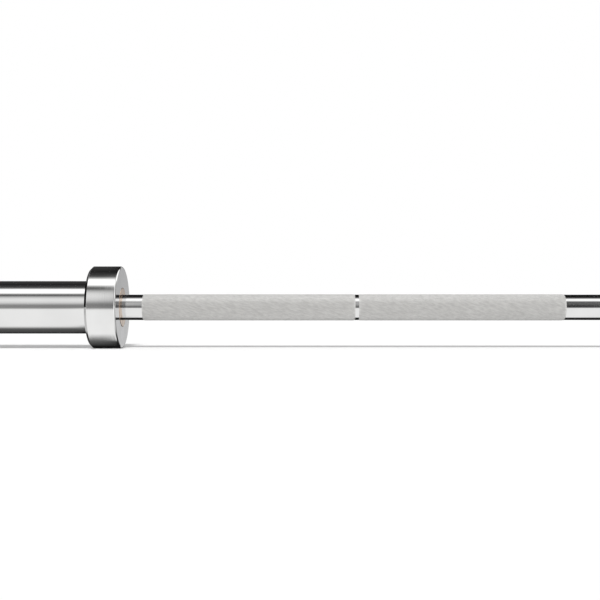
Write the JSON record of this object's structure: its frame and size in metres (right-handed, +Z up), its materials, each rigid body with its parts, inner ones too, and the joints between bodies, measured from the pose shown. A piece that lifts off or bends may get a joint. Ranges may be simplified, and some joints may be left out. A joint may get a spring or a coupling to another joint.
{
  "type": "olympic barbell",
  "caption": "Straight weightlifting bar with a slim knurled steel shaft and a chromed, collared sleeve at each end that spins freely on bronze bushings to carry plates.",
  "frame": {"origin": "middle of the bar, on the axis of the shaft", "axes": "+X along the bar towards the right sleeve's end, +Z up, +Y away from the side that the picture shows; the picture shows the -X end"},
  "size_m": [2.01, 0.078, 0.078],
  "materials": {
    "shaft_steel": "polished hard chrome, knurled bands satin",
    "sleeve_chrome": "fine turned chrome with faint lines around the sleeve",
    "collar_chrome": "turned chrome, satin on the inner face",
    "cap_chrome": "turned chrome",
    "bushing_bronze": "sintered bronze with an oily sheen",
    "washer_steel": "ground steel",
    "spring_steel": "dark phosphated spring steel",
    "seal_rubber": "matte black rubber"
  },
  "bodies": {
    "shaft": {"shaft": "shaft_steel", "left_inner_shaft_ring": "spring_steel", "left_outer_shaft_ring": "spring_steel", "right_inner_shaft_ring": "spring_steel", "right_outer_shaft_ring": "spring_steel"},
    "left_sleeve": {"left_collar": "collar_chrome", "left_sleeve_tube": "sleeve_chrome", "left_inner_bushing": "bushing_bronze", "left_outer_bushing": "bushing_bronze", "left_bushing_retaining_ring": "spring_steel", "left_end_cap": "cap_chrome", "left_end_cap_seal": "seal_rubber", "left_end_cap_retaining_ring": "spring_steel"},
    "right_sleeve": {"right_collar": "collar_chrome", "right_sleeve_tube": "sleeve_chrome", "right_inner_bushing": "bushing_bronze", "right_outer_bushing": "bushing_bronze", "right_bushing_retaining_ring": "spring_steel", "right_end_cap": "cap_chrome", "right_end_cap_seal": "seal_rubber", "right_end_cap_retaining_ring": "spring_steel"},
    "left_inner_washer": {"left_inner_thrust_washer": "washer_steel"},
    "left_outer_washer": {"left_outer_thrust_washer": "washer_steel"},
    "right_inner_washer": {"right_inner_thrust_washer": "washer_steel"},
    "right_outer_washer": {"right_outer_thrust_washer": "washer_steel"}
  },
  "joints": [
    {"name": "left_sleeve_spin", "type": "hinge", "parent": "shaft", "child": "left_sleeve", "pos_m": [-0.845, 0, 0], "axis": [1, 0, 0], "continuous": true},
    {"name": "right_sleeve_spin", "type": "hinge", "parent": "shaft", "child": "right_sleeve", "pos_m": [0.845, 0, 0], "axis": [1, 0, 0], "continuous": true},
    {"name": "left_inner_washer_spin", "type": "hinge", "parent": "shaft", "child": "left_inner_washer", "pos_m": [-0.954, 0, 0], "axis": [1, 0, 0], "continuous": true},
    {"name": "left_outer_washer_spin", "type": "hinge", "parent": "shaft", "child": "left_outer_washer", "pos_m": [-0.981, 0, 0], "axis": [1, 0, 0], "continuous": true},
    {"name": "right_inner_washer_spin", "type": "hinge", "parent": "shaft", "child": "right_inner_washer", "pos_m": [0.954, 0, 0], "axis": [1, 0, 0], "continuous": true},
    {"name": "right_outer_washer_spin", "type": "hinge", "parent": "shaft", "child": "right_outer_washer", "pos_m": [0.981, 0, 0], "axis": [1, 0, 0], "continuous": true}
  ]
}
